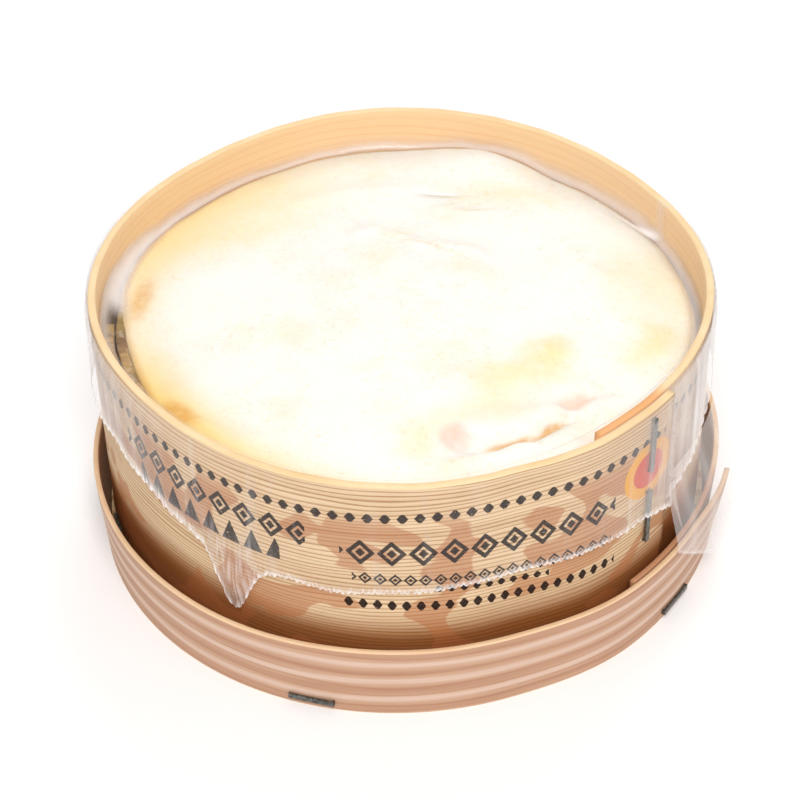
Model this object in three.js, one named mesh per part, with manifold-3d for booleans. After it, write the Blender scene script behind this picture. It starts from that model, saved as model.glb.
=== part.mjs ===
// A soft cheese wheel girdled with spruce bark, in its round spruce-veneer box.
// The box stands in its own upturned lid, and a clear film covers the cheese and the upper wall.
// Millimetres, +Z up. The origin is the middle of the lid disc's underside, which rests on the table.

import * as THREE from 'three';
import { mergeVertices } from 'three/addons/utils/BufferGeometryUtils.js';
import Module from 'manifold-3d';

// ---- Driving dimensions ----

// Gap kept between pieces that touch.
const pieceGap = 0.3;

// Box: a bent veneer band round a thin disc.
const boxRadius = 66.5;
const boxHeight = 56.1;
const boxVeneer = 1.7;
const boxBottomThickness = 4.5;
const boxShift = [-0.9, -0.2];

// The band dried slightly square: four low lobes, this high, the first at this angle.
const boxLobeHeight = 0.8;
const boxLobeAngle = -4.5;

// Lapped ends of the box's band: angle of the outer end, degrees of lap, degrees of easing after it.
const boxOuterEnd = -36;
const boxLap = 17.5;
const boxLapEasing = 20;

// Lid: a lower band round a thicker disc. The box fits in it with this much room.
const lidRoom = 2.3;
const lidHeight = 19.4;
const lidVeneer = 1.2;
const lidDiscThickness = 5;
const lidOvalHeight = 1.1;
const lidOvalAngle = 52;
const lidFlare = 1.2;
const lidOuterEnd = -13;
const lidLap = 34;
const lidLapEasing = 25;
const lidEndSpring = 1.6;
const lidEndSpringLength = 18;

// Bark strap round the cheese's side: its top edge lies this far below the cheese's edge.
const barkThickness = 2.2;
const barkBelowEdge = 1.8;
const barkOuterEnd = 180.5;
const barkLap = 29;
const barkLapEasing = 24;

// The cheese leans to one side of the box, and leaves this much more room on the other side.
const cheeseSideRoom = 2.2;
const cheeseContactAngle = 15;

// The cheese: how far its edge lies below the box's rim, how far its middle stands above its edge,
// the rounding of its lower and upper edges, and how far its rind rolls out over the strap's top.
const cheeseDrop = 9.9;
const cheeseCrown = 1.8;
const cheeseFootRounding = 3;
const cheeseEdgeRounding = 1.1;
const rindOverhang = 1.5;
const rindWaveHeight = 0.5;
const rindRippleHeight = 0.3;

// Flat wire staples.
const wireWidth = 1.2;
const wireThickness = 0.5;
const lapStapleCrown = 14;
const lapStapleTip = 4;
const lapStapleAngle = -42;
const lapStapleBelowRim = [9.2, 28.7];
const discStapleCrown = 10;
const discStapleLeg = 7;
const boxStapleAngles = [-90, -18, 54, 126, 198];
const lidStapleAngles = [-107, -35, 37, 109, 181];

// Clear film: its hem ends this far above the lid, and lower at the sheet's four corners.
const filmThickness = 0.3;
const filmHemAboveLid = 14;
const filmCornerDrop = 9;
const filmCornerAngle = -122;
const filmFillet = 5;

// How far round from each point the film is held off the band, in film steps.
const filmReach = 1.25;

// Shares of the side's radius at which the cheese's top and the film over it have their rings.
const rindRings = [0.8, 0.6, 0.4, 0.2];
const filmRings = [0.25, 0.5, 0.75, 0.93];

// Steps round a full turn.
const discSteps = 72;
const filmSteps = 60;
const hoopStepDegrees = 5;

// ---- Sizes that follow ----

const boxFloor = lidDiscThickness + pieceGap;
const rimHeight = boxFloor + boxHeight;
const cheeseFloor = boxFloor + boxBottomThickness + pieceGap;
const cheeseEdge = rimHeight - cheeseDrop;
const barkTop = cheeseEdge - barkBelowEdge;
const lidInnerRadius = boxRadius + lidRoom;
const lapGap = pieceGap;
const stapleStand = pieceGap + wireThickness + pieceGap;
const lapThickness = 2 * boxVeneer + lapGap;

const wasm = await Module();
wasm.setup();

// ---- Plain helpers ----

const radians = (degrees) => THREE.MathUtils.degToRad(degrees);
const wave = (degrees, count, phase) => Math.cos(radians(count * (degrees - phase)));
const ease = (value, from, to) => THREE.MathUtils.smoothstep(value, from, to);

function wrap(degrees) {
  return ((degrees % 360) + 360) % 360;
}

function pointAt(radius, degrees) {
  const angle = radians(degrees);
  return new THREE.Vector2(radius * Math.cos(angle), radius * Math.sin(angle));
}

function material(color, roughness, metalness = 0) {
  return new THREE.MeshStandardMaterial({ color, roughness, metalness });
}

function named(name, geometry, look) {
  const mesh = new THREE.Mesh(geometry, look);
  mesh.name = name;
  return mesh;
}

// ---- Joining and cutting ----

function toSolid(geometry) {
  const bare = geometry.clone();
  bare.deleteAttribute('normal');
  bare.deleteAttribute('uv');
  const merged = mergeVertices(bare, 1e-4);
  const vertProperties = new Float32Array(merged.attributes.position.array);
  const triVerts = new Uint32Array(merged.index.array);
  return new wasm.Manifold(new wasm.Mesh({ numProp: 3, vertProperties, triVerts }));
}

function toGeometry(solid) {
  const { vertProperties, triVerts } = solid.getMesh();
  const geometry = new THREE.BufferGeometry();
  geometry.setAttribute('position', new THREE.BufferAttribute(new Float32Array(vertProperties), 3));
  geometry.setIndex(new THREE.BufferAttribute(new Uint32Array(triVerts), 1));
  geometry.computeVertexNormals();
  return geometry;
}

function cut(geometry, cutters) {
  let solid = toSolid(geometry);
  for (const cutter of cutters) {
    solid = solid.subtract(toSolid(cutter));
  }
  return toGeometry(solid);
}

// ---- Outlines, as radius against angle in degrees ----

function boxInner(angle) {
  return boxRadius - boxVeneer + boxLobeHeight * wave(angle, 4, boxLobeAngle);
}

function lidInner(angle) {
  return lidInnerRadius + lidOvalHeight * wave(angle, 2, lidOvalAngle);
}

// The strap's outer face where it is a single layer. The least room leaves space for staple tips.
function barkOuter(angle) {
  const sideShare = 0.5 - 0.5 * wave(angle, 1, cheeseContactAngle);
  return boxInner(angle) - stapleStand - cheeseSideRoom * sideShare;
}

function barkInner(angle) {
  return barkOuter(angle) - barkThickness;
}

function cheeseSide(angle) {
  return barkInner(angle) - pieceGap;
}

// ---- Hoops: bent strips whose two ends lap over each other ----

const boxHoop = {
  inner: boxInner,
  thickness: boxVeneer,
  outerEnd: boxOuterEnd,
  lap: boxLap,
  easing: boxLapEasing,
  turn: -1,
};

const lidHoop = {
  inner: lidInner,
  thickness: lidVeneer,
  outerEnd: lidOuterEnd,
  lap: lidLap,
  easing: lidLapEasing,
  turn: -1,
};

const barkHoop = {
  inner: barkInner,
  thickness: barkThickness,
  outerEnd: barkOuterEnd,
  lap: barkLap,
  easing: barkLapEasing,
  turn: 1,
};

// How far the outer layer is lifted off the inner one, at this many degrees from the outer end.
function lapLift(hoop, along) {
  return (hoop.thickness + lapGap) * (1 - ease(along, hoop.lap, hoop.lap + hoop.easing));
}

// Radius of the hoop's outermost face at an angle.
function hoopOuter(hoop, angle) {
  const along = wrap(hoop.turn * (angle - hoop.outerEnd));
  return hoop.inner(angle) + hoop.thickness + lapLift(hoop, along);
}

// The strip seen from above: out along its outer face and back along its inner face.
function hoopOutline(hoop, extraRadius) {
  const steps = Math.ceil((360 + hoop.lap) / hoopStepDegrees);
  const outside = [];
  const inside = [];
  for (let i = 0; i <= steps; i += 1) {
    const along = ((360 + hoop.lap) * i) / steps;
    const angle = hoop.outerEnd + hoop.turn * along;
    const radius = hoop.inner(angle) + lapLift(hoop, along) + extraRadius(along);
    outside.push(pointAt(radius + hoop.thickness, angle));
    inside.push(pointAt(radius, angle));
  }
  return outside.concat(inside.reverse());
}

function extrude(outline, depth) {
  return new THREE.ExtrudeGeometry(new THREE.Shape(outline), { depth, bevelEnabled: false });
}

// An extrusion whose upper outline differs from its lower one, point for point.
function loft(lower, upper, depth) {
  const geometry = extrude(lower, depth);
  const key = (x, y) => `${x.toFixed(3)} ${y.toFixed(3)}`;
  const upperOf = new Map(lower.map((point, i) => [key(point.x, point.y), upper[i]]));
  const position = geometry.attributes.position;
  for (let i = 0; i < position.count; i += 1) {
    if (position.getZ(i) > depth / 2) {
      const target = upperOf.get(key(position.getX(i), position.getY(i)));
      position.setXY(i, target.x, target.y);
    }
  }
  return geometry;
}

// ---- Discs ----

function discOutline(radiusAt) {
  const outline = [];
  for (let i = 0; i < discSteps; i += 1) {
    const angle = (360 * i) / discSteps;
    outline.push(pointAt(radiusAt(angle) - pieceGap, angle));
  }
  return outline;
}

// ---- Turned bodies whose radius and height vary round the turn ----

// Turns a profile of [radius, height] pairs, then moves each point to place(radius, height, angle).
function turned(profile, steps, place) {
  const geometry = new THREE.LatheGeometry(profile.map(([r, z]) => new THREE.Vector2(r, z)), steps);
  geometry.rotateX(Math.PI / 2);
  const position = geometry.attributes.position;
  for (let i = 0; i < position.count; i += 1) {
    const x = position.getX(i);
    const y = position.getY(i);
    const angle = THREE.MathUtils.radToDeg(Math.atan2(y, x));
    const [radius, height] = place(Math.hypot(x, y), position.getZ(i), angle);
    const moved = pointAt(radius, angle);
    position.setXYZ(i, moved.x, moved.y, height);
  }
  return geometry;
}

// ---- Staples ----

// A staple in its own plane: crown along X with its outer face at Y = 0, legs towards -Y.
function discStapleOutline() {
  const half = discStapleCrown / 2;
  const inner = half - wireThickness;
  return [
    new THREE.Vector2(-half, 0),
    new THREE.Vector2(-half, -discStapleLeg),
    new THREE.Vector2(-inner, -discStapleLeg),
    new THREE.Vector2(-inner, -wireThickness),
    new THREE.Vector2(inner, -wireThickness),
    new THREE.Vector2(inner, -discStapleLeg),
    new THREE.Vector2(half, -discStapleLeg),
    new THREE.Vector2(half, 0),
  ];
}

// The same with its tips clinched towards each other behind both layers of the lap.
function lapStapleOutline() {
  const half = lapStapleCrown / 2;
  const inner = half - wireThickness;
  const behind = -(wireThickness + pieceGap + lapThickness + pieceGap);
  return [
    new THREE.Vector2(-half, 0),
    new THREE.Vector2(-half, behind - wireThickness),
    new THREE.Vector2(-half + lapStapleTip, behind - wireThickness),
    new THREE.Vector2(-half + lapStapleTip, behind),
    new THREE.Vector2(-inner, behind),
    new THREE.Vector2(-inner, -wireThickness),
    new THREE.Vector2(inner, -wireThickness),
    new THREE.Vector2(inner, behind),
    new THREE.Vector2(half - lapStapleTip, behind),
    new THREE.Vector2(half - lapStapleTip, behind - wireThickness),
    new THREE.Vector2(half, behind - wireThickness),
    new THREE.Vector2(half, 0),
  ];
}

function stapleGeometry(outline) {
  return extrude(outline, wireWidth).translate(0, 0, -wireWidth / 2);
}

// Holes for a staple's two legs, in the staple's own plane.
function legHoles(crown, depth) {
  const wide = wireThickness + 2 * pieceGap;
  const tall = wireWidth + 2 * pieceGap;
  const offset = (crown - wireThickness) / 2;
  return [-offset, offset].map((x) => new THREE.BoxGeometry(wide, depth, tall).translate(x, 0, 0));
}

// Puts a staple's plane at a place on a hoop: crown outwards, lying along the hoop or upright.
function staplePlace(outerRadius, angle, height, upright) {
  const place = new THREE.Object3D();
  place.rotation.order = 'ZYX';
  place.rotation.z = radians(angle - 90);
  place.rotation.y = upright ? Math.PI / 2 : 0;
  const outwards = pointAt(outerRadius + pieceGap + wireThickness, angle);
  place.position.set(outwards.x, outwards.y, height);
  place.updateMatrix();
  return place;
}

function stapleMesh(name, outline, place) {
  const mesh = named(name, stapleGeometry(outline), steel);
  mesh.position.copy(place.position);
  mesh.quaternion.copy(place.quaternion);
  return mesh;
}

function holesAt(place, crown, depth) {
  return legHoles(crown, depth).map((hole) => hole.applyMatrix4(place.matrix));
}

// ---- Materials ----

const spruce = material(0xe6c491, 0.62);
const spruceDisc = material(0xd9b784, 0.7);
const lidSpruce = material(0xd8b48c, 0.6);
const bark = material(0x7a5a34, 0.9);
const rind = material(0xfbf1d6, 0.55);
const clearFilm = material(0xf4f2f4, 0.1);
const steel = material(0x7d8078, 0.35, 0.9);

// ---- Staple places ----

const lapStaplePlaces = lapStapleBelowRim.map((below) => staplePlace(
  hoopOuter(boxHoop, lapStapleAngle), lapStapleAngle, rimHeight - below, true));

const boxStaplePlaces = boxStapleAngles.map((angle) => staplePlace(
  hoopOuter(boxHoop, angle), angle, boxFloor + boxBottomThickness / 2, false));

const lidStaplePlaces = lidStapleAngles.map((angle) => staplePlace(
  hoopOuter(lidHoop, angle), angle, lidDiscThickness / 2, false));

const legDepth = 2 * (discStapleLeg + pieceGap);
const lapHoleDepth = 4 * lapThickness;
const lapStapleHoles = lapStaplePlaces.flatMap((place) => holesAt(place, lapStapleCrown, lapHoleDepth));
const boxStapleHoles = boxStaplePlaces.flatMap((place) => holesAt(place, discStapleCrown, legDepth));
const lidStapleHoles = lidStaplePlaces.flatMap((place) => holesAt(place, discStapleCrown, legDepth));

// ---- The lid ----

const flat = () => 0;

// The lid's rim flares, and its outer end springs away from the layer below.
function lidRimExtra(along) {
  const spring = 1 - ease(along, 0, lidEndSpringLength);
  return lidFlare + lidEndSpring * spring;
}

function lidBand() {
  const lower = hoopOutline(lidHoop, flat);
  const upper = hoopOutline(lidHoop, lidRimExtra);
  return cut(loft(lower, upper, lidHeight), lidStapleHoles);
}

function lidDisc() {
  return cut(extrude(discOutline(lidInner), lidDiscThickness), lidStapleHoles);
}

// ---- The box ----

function boxBand() {
  const band = extrude(hoopOutline(boxHoop, flat), boxHeight).translate(0, 0, boxFloor);
  return cut(band, lapStapleHoles.concat(boxStapleHoles));
}

function boxBottom() {
  const disc = extrude(discOutline(boxInner), boxBottomThickness).translate(0, 0, boxFloor);
  return cut(disc, boxStapleHoles);
}

// ---- The cheese and its strap ----

function barkStrap() {
  const height = barkTop - cheeseFloor;
  return extrude(hoopOutline(barkHoop, flat), height).translate(0, 0, cheeseFloor);
}

// Soft swells of the cheese's top at a share of the radius, 0 in the middle and at the edge.
function rindSwell(share, angle) {
  const middle = wave(angle, 3, 40) * Math.sin(Math.PI * share);
  const outer = wave(angle, 5, 10) * Math.sin(2 * Math.PI * share);
  return rindWaveHeight * middle + rindRippleHeight * outer;
}

// Height of the cheese's top at a share of its radius.
function cheeseTop(share, angle) {
  return cheeseEdge + cheeseCrown * (1 - share * share) + rindSwell(share, angle);
}

// The cheese's profile, as if its side were the box's inner face: foot, side, rolled rind and top.
function cheeseProfile() {
  const side = boxRadius - boxVeneer;
  const overBark = barkTop + pieceGap;
  const footBevel = cheeseFootRounding * (1 - Math.SQRT1_2);
  const edgeBevel = cheeseEdgeRounding * (1 - Math.SQRT1_2);
  const lip = side + rindOverhang;
  const foot = [
    [0, cheeseFloor],
    [side - cheeseFootRounding, cheeseFloor],
    [side - footBevel, cheeseFloor + footBevel],
    [side, cheeseFloor + cheeseFootRounding],
  ];
  const edge = [
    [side, overBark],
    [lip, overBark],
    [lip, cheeseEdge - edgeBevel],
    [lip - cheeseEdgeRounding, cheeseEdge],
    [side - cheeseFootRounding, cheeseEdge],
  ];
  const top = rindRings.map((share) => [side * share, cheeseEdge]);
  return foot.concat(edge, top, [[0, cheeseEdge]]);
}

function cheeseWheel() {
  const side = boxRadius - boxVeneer;
  return turned(cheeseProfile(), discSteps, (radius, height, angle) => {
    const share = Math.min(radius / side, 1);
    const overhang = Math.max(radius - side, 0);
    const isTop = height >= cheeseEdge;
    return [share * cheeseSide(angle) + overhang, isTop ? cheeseTop(share, angle) : height];
  });
}

// ---- The film ----

// The film's lower edge: level along the sheet's sides, lower at its four corners.
function filmHem(angle) {
  const corner = wave(angle, 2, filmCornerAngle) ** 2;
  return lidHeight + filmHemAboveLid - filmCornerDrop * corner ** 6;
}

// Outermost face of the box's band near an angle, so that the film clears the lap's end.
function filmSupport(angle) {
  const reach = (filmReach * 360) / filmSteps;
  const nearby = [angle - reach, angle, angle + reach];
  return Math.max(...nearby.map((each) => hoopOuter(boxHoop, each)));
}

// One face of the film from the middle of the cheese to the hem, a stand-off away from all it covers.
function filmFace(standOff) {
  const top = [0].concat(filmRings).map((share) => ({ share, zone: 'top', standOff }));
  const wall = [
    { zone: 'inside', depth: filmFillet, standOff },
    { zone: 'inside', depth: 0, standOff },
    { zone: 'outside', depth: 0, standOff },
    { zone: 'outside', depth: 0.5, standOff },
    { zone: 'outside', depth: 1, standOff },
  ];
  return top.concat(wall);
}

function filmPoint(point, angle) {
  const rim = rimHeight + pieceGap + point.standOff;
  if (point.zone === 'top') {
    const lift = pieceGap + point.standOff;
    return [point.share * cheeseSide(angle), cheeseTop(point.share, angle) + lift];
  }
  if (point.zone === 'inside') {
    return [boxInner(angle) - stapleStand - point.standOff, rim - point.depth];
  }
  const radius = filmSupport(angle) + stapleStand + point.standOff;
  return [radius, THREE.MathUtils.lerp(rim, filmHem(angle), point.depth)];
}

// The film is turned as a ring of numbered profile points, each then put in its own place.
function film() {
  const points = filmFace(0).concat(filmFace(filmThickness).reverse());
  const numbered = points.map((point, i) => [point.share === 0 ? 0 : 1, i]);
  const place = (radius, height, angle) => filmPoint(points[Math.round(height)], angle);
  return turned(numbered, filmSteps, place);
}

// ---- Assembly ----

const lid = new THREE.Group();
lid.add(named('lid_disc', lidDisc(), spruceDisc));
lid.add(named('lid_band', lidBand(), lidSpruce));
lidStaplePlaces.forEach((place, i) => {
  lid.add(stapleMesh(`lid_staple_${i + 1}`, discStapleOutline(), place));
});

const box = new THREE.Group();
box.position.set(boxShift[0], boxShift[1], 0);
box.add(named('box_bottom', boxBottom(), spruceDisc));
box.add(named('box_band', boxBand(), spruce));
lapStaplePlaces.forEach((place, i) => {
  box.add(stapleMesh(`box_lap_staple_${i + 1}`, lapStapleOutline(), place));
});
boxStaplePlaces.forEach((place, i) => {
  box.add(stapleMesh(`box_bottom_staple_${i + 1}`, discStapleOutline(), place));
});
box.add(named('bark_strap', barkStrap(), bark));
box.add(named('cheese_wheel', cheeseWheel(), rind));
box.add(named('film', film(), clearFilm));

const cheeseInBox = new THREE.Group();
cheeseInBox.add(lid, box);

export default cheeseInBox;
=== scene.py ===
"""The looks of a soft cheese girdled with bark, in a round spruce box that stands in its lid under film.

Lengths are millimetres where nothing else is said, and angles are degrees about the box's axis, 0 along
+X and -90 at the front. Meshes are turned into metres as they are made.
"""

import math

import bpy
import numpy as np
from mathutils import Matrix, Vector, noise


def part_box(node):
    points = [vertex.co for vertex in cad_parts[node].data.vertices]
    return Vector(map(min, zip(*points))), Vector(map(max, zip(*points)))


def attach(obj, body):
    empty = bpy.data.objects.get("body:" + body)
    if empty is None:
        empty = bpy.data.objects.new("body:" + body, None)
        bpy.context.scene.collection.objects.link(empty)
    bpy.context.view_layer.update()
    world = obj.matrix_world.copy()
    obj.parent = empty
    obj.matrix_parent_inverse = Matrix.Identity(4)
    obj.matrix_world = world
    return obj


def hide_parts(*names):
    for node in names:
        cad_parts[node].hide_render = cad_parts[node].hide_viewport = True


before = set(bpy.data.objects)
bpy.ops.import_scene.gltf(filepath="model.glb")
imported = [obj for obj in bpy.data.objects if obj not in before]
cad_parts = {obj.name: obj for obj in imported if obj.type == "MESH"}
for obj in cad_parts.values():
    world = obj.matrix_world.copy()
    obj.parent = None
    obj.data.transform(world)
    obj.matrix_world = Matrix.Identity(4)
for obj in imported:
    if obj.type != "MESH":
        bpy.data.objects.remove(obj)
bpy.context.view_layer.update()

MM = 0.001

# ---- Places from the frame ----

PLACES = {name: [np.array(corner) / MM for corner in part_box(name)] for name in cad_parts}
BOX_FLOOR = PLACES["box_band"][0][2]
RIM = PLACES["box_band"][1][2]
LID_TOP = PLACES["lid_band"][1][2]
CHEESE_FLOOR = PLACES["cheese_wheel"][0][2]
BARK_TOP = PLACES["bark_strap"][1][2]
BOX_CENTRE = (PLACES["box_bottom"][0] + PLACES["box_bottom"][1])[:2] / 2

# ---- Sizes shared with the design ----

# Room left between neighbouring pieces.
GAP = 0.3

BOX_RADIUS = 66.5
BOX_VENEER = 1.7
BOX_LOBE = 0.8
BOX_LOBE_ANGLE = -4.5
BOX_END = -36
BOX_LAP = 17.5
BOX_EASING = 20

LID_RADIUS = 68.8
LID_VENEER = 1.2
LID_OVAL = 1.1
LID_OVAL_ANGLE = 52
LID_FLARE = 1.2
LID_END = -13
LID_LAP = 34
LID_EASING = 25
LID_SPRING = 1.6
LID_SPRING_LENGTH = 18

BARK_THICKNESS = 2.2
BARK_END = 180.5
BARK_LAP = 29
BARK_EASING = 24
BARK_ROOM = 2.2
BARK_CONTACT_ANGLE = 15
STAPLE_STAND = 1.1

# Round this angle the rind draws back and leaves the bark bare.
BARE_ANGLE = -166

# The cheese's edge and the rise of its middle above it.
CHEESE_EDGE = 51.5
CHEESE_CROWN = 1.8

# ---- Plain helpers ----


def cosd(degrees):
    return np.cos(np.radians(degrees))


def sind(degrees):
    return np.sin(np.radians(degrees))


def ease(value, low, high):
    share = np.clip((np.asarray(value, float) - low) / (high - low), 0, 1)
    return share * share * (3 - 2 * share)


def turn_between(angle, middle):
    """Degrees from middle to angle, from -180 to 180."""
    return (np.asarray(angle, float) - middle + 180) % 360 - 180


def bell(distance, width):
    return np.exp(-np.square(np.asarray(distance, float) / width))


def about(angle, middle, width):
    """1 at the middle angle, falling off over width degrees."""
    return bell(turn_between(angle, middle), width)


def rough(points, scale, octaves=3, seed=0.0):
    """Fractal noise from about -1 to 1 at each point, with features about scale across."""
    shift = Vector((seed * 17.3, seed * 5.1, seed * 9.7))
    flat = np.asarray(points, float).reshape(-1, 3) / scale
    values = [noise.fractal(Vector(p) + shift, 1.0, 2.0, octaves) for p in flat]
    return np.array(values).reshape(np.asarray(points).shape[:-1])


def polar(radius, angle, height):
    """World points from a radius and angle about the box's axis."""
    radius, angle, height = np.broadcast_arrays(radius, angle, height)
    x = BOX_CENTRE[0] + radius * cosd(angle)
    y = BOX_CENTRE[1] + radius * sind(angle)
    return np.stack([x, y, height], -1).astype(float)


def grid_faces(rows, columns, close_columns=False):
    """Four-sided faces of a grid of points, rows times columns."""
    wide = columns if close_columns else columns - 1
    r, c = np.meshgrid(np.arange(rows - 1), np.arange(wide), indexing="ij")
    right = (c + 1) % columns
    quads = [r * columns + c, r * columns + right, (r + 1) * columns + right, (r + 1) * columns + c]
    return np.stack(quads, -1).reshape(-1, 4)


def mesh_piece(name, points, faces, uvs, materials, slots=None):
    """A smooth mesh piece from points in millimetres. uvs has each point's pair for the wrap layer."""
    mesh = bpy.data.meshes.new(name)
    places = (np.asarray(points).reshape(-1, 3) * MM).tolist()
    mesh.from_pydata(places, [], [list(map(int, f)) for f in faces])
    for material in materials:
        mesh.materials.append(material)
    layer = mesh.uv_layers.new(name="wrap")
    corner_points = np.zeros(len(mesh.loops), int)
    mesh.loops.foreach_get("vertex_index", corner_points)
    layer.data.foreach_set("uv", np.asarray(uvs, float).reshape(-1, 2)[corner_points].ravel())
    if slots is not None:
        mesh.polygons.foreach_set("material_index", np.asarray(slots, int))
    mesh.polygons.foreach_set("use_smooth", np.ones(len(mesh.polygons), bool))
    mesh.update()
    piece = bpy.data.objects.new(name, mesh)
    bpy.context.scene.collection.objects.link(piece)
    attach(piece, "root")
    return piece


# ---- Outlines ----


def box_inner(angle):
    return BOX_RADIUS - BOX_VENEER + BOX_LOBE * cosd(4 * (angle - BOX_LOBE_ANGLE))


def lid_inner(angle):
    return LID_RADIUS + LID_OVAL * cosd(2 * (angle - LID_OVAL_ANGLE))


def bark_outer(angle):
    side = 0.5 - 0.5 * cosd(angle - BARK_CONTACT_ANGLE)
    return box_inner(angle) - STAPLE_STAND - BARK_ROOM * side


def bark_inner(angle):
    return bark_outer(angle) - BARK_THICKNESS


def lap_lift(along, thickness, lap, easing):
    """How far a hoop's outer layer is lifted off the inner one."""
    return (thickness + GAP) * (1 - ease(along, lap, lap + easing))


def box_outer(angle):
    along = -turn_between(angle, BOX_END) % 360
    return box_inner(angle) + BOX_VENEER + lap_lift(along, BOX_VENEER, BOX_LAP, BOX_EASING)


# ---- Node helpers ----


class Nodes:
    """Short ways to write a material's nodes."""

    def __init__(self, name):
        self.material = bpy.data.materials.new(name)
        self.material.use_nodes = True
        self.tree = self.material.node_tree
        self.shader = self.tree.nodes["Principled BSDF"]

    def put(self, socket, value):
        if isinstance(value, bpy.types.NodeSocket):
            self.tree.links.new(value, socket)
        elif value is not None:
            socket.default_value = value

    def node(self, kind, inputs=(), **settings):
        made = self.tree.nodes.new(kind)
        for key, value in settings.items():
            setattr(made, key, value)
        for key, value in dict(inputs).items():
            self.put(made.inputs[key], value)
        return made

    def math(self, operation, first, second=None, third=None):
        made = self.node("ShaderNodeMath", operation=operation)
        for socket, value in zip(made.inputs, (first, second, third)):
            self.put(socket, value)
        return made.outputs[0]

    def add(self, a, b):
        return self.math("ADD", a, b)

    def times(self, a, b):
        return self.math("MULTIPLY", a, b)

    def ramp(self, value, low, high):
        """0 where value is at or below low, 1 where it is at or above high, smooth between."""
        made = self.node("ShaderNodeMapRange", interpolation_type="SMOOTHSTEP")
        self.put(made.inputs["Value"], value)
        self.put(made.inputs["From Min"], low)
        self.put(made.inputs["From Max"], high)
        return made.outputs["Result"]

    def place(self):
        """The place in the piece's own coordinates, in millimetres."""
        spot = self.node("ShaderNodeTexCoord").outputs["Object"]
        return self.node("ShaderNodeVectorMath", {0: spot, "Scale": 1 / MM}, operation="SCALE").outputs[0]

    def wrap(self):
        """The piece's wrap layer as two sockets: on a band, the millimetres along it and up it."""
        layer = self.node("ShaderNodeUVMap", uv_map="wrap").outputs[0]
        split = self.node("ShaderNodeSeparateXYZ", {0: layer})
        return split.outputs[0], split.outputs[1]

    def joined(self, x, y, z=0.0):
        made = self.node("ShaderNodeCombineXYZ")
        for socket, value in zip(made.inputs, (x, y, z)):
            self.put(socket, value)
        return made.outputs[0]

    def noise(self, place, scale, detail=3.0, roughness=0.55, distortion=0.0):
        inputs = {
            "Vector": place,
            "Scale": scale,
            "Detail": detail,
            "Roughness": roughness,
            "Distortion": distortion,
        }
        return self.node("ShaderNodeTexNoise", inputs).outputs["Fac"]

    def mix(self, share, low, high):
        """A colour between two, each a colour or a socket."""
        made = self.node("ShaderNodeMix", data_type="RGBA")
        self.put(made.inputs["Factor"], share)
        self.put(made.inputs[6], low)
        self.put(made.inputs[7], high)
        return made.outputs[2]

    def bump(self, height, strength, distance):
        """Bumps of a strength from 0 to 1 and a depth in metres."""
        inputs = {"Height": height, "Strength": strength, "Distance": distance}
        return self.node("ShaderNodeBump", inputs).outputs[0]

    def finish(self, **sockets):
        """Sets the shader's own sockets, with underscores for spaces."""
        for key, value in sockets.items():
            self.put(self.shader.inputs[key.replace("_", " ")], value)
        return self.material


def colour(red, green, blue):
    """A linear colour with alpha from 0 to 255 display values."""
    shares = [c / 255 for c in (red, green, blue)]
    linear = [c / 12.92 if c <= 0.04045 else ((c + 0.055) / 1.055) ** 2.4 for c in shares]
    return (*linear, 1.0)


# ---- Wood ----


def wood_colour(n, along, up, light, dark, seed, pitch=2.0, ringed=0.22):
    """Long grain along a band: close lines a pitch apart, broad drifting bands and faint blotches."""
    drift = n.noise(n.joined(n.times(along, 0.012), n.times(up, 0.08), seed), 1.0, 2.0)
    bent = n.add(up, n.times(drift, 6.0))
    fine = n.noise(n.joined(n.times(along, 0.02), n.times(bent, 1.5), seed), 1.0, 4.0, 0.7)
    lines = n.math("SINE", n.add(n.times(bent, 2 * math.pi / pitch), n.times(fine, 4.0)))
    broad = n.noise(n.joined(n.times(along, 0.008), n.times(bent, 0.22), seed + 3.0), 1.0, 2.0)
    blotch = n.noise(n.joined(n.times(along, 0.05), n.times(up, 0.09), seed + 7.0), 1.0, 3.0)
    share = n.add(n.times(fine, 0.55), n.times(n.ramp(lines, 0.2, 1.0), ringed))
    share = n.add(share, n.times(broad, 0.5))
    share = n.add(share, n.times(blotch, 0.25))
    share = n.ramp(share, 0.45, 1.15)
    return n.mix(share, light, dark), n.add(fine, n.times(lines, 0.25))


def plain_wood(name, light, dark, seed):
    n = Nodes(name)
    along, up = n.wrap()
    tint, height = wood_colour(n, along, up, light, dark, seed)
    return n.finish(
        Base_Color=tint,
        Roughness=n.math("MULTIPLY_ADD", height, 0.12, 0.54),
        Normal=n.bump(height, 0.35, 0.00012),
    )


def rim_wood(name, light, dark, lapped):
    """A veneer's cut edge: pale, with short fibres, and another colour where its inner end is lapped."""
    n = Nodes(name)
    along, up = n.wrap()
    fibre = n.noise(n.joined(n.times(along, 0.07), n.times(up, 3.0), 1.0), 1.0, 3.0, 0.7)
    worn = n.ramp(n.noise(n.joined(n.times(along, 0.03), 0.0, 9.0), 1.0, 2.0), 0.45, 0.7)
    full_turn = 2 * math.pi * BOX_RADIUS
    tint = n.mix(n.times(n.ramp(fibre, 0.3, 0.8), 0.6), light, dark)
    tint = n.mix(n.times(worn, 0.3), tint, dark)
    tint = n.mix(n.times(n.ramp(along, full_turn - 2, full_turn + 4), 0.75), tint, lapped)
    return n.finish(Base_Color=tint, Roughness=0.7, Normal=n.bump(fibre, 0.4, 0.0002))


# ---- The printed wall ----

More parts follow.
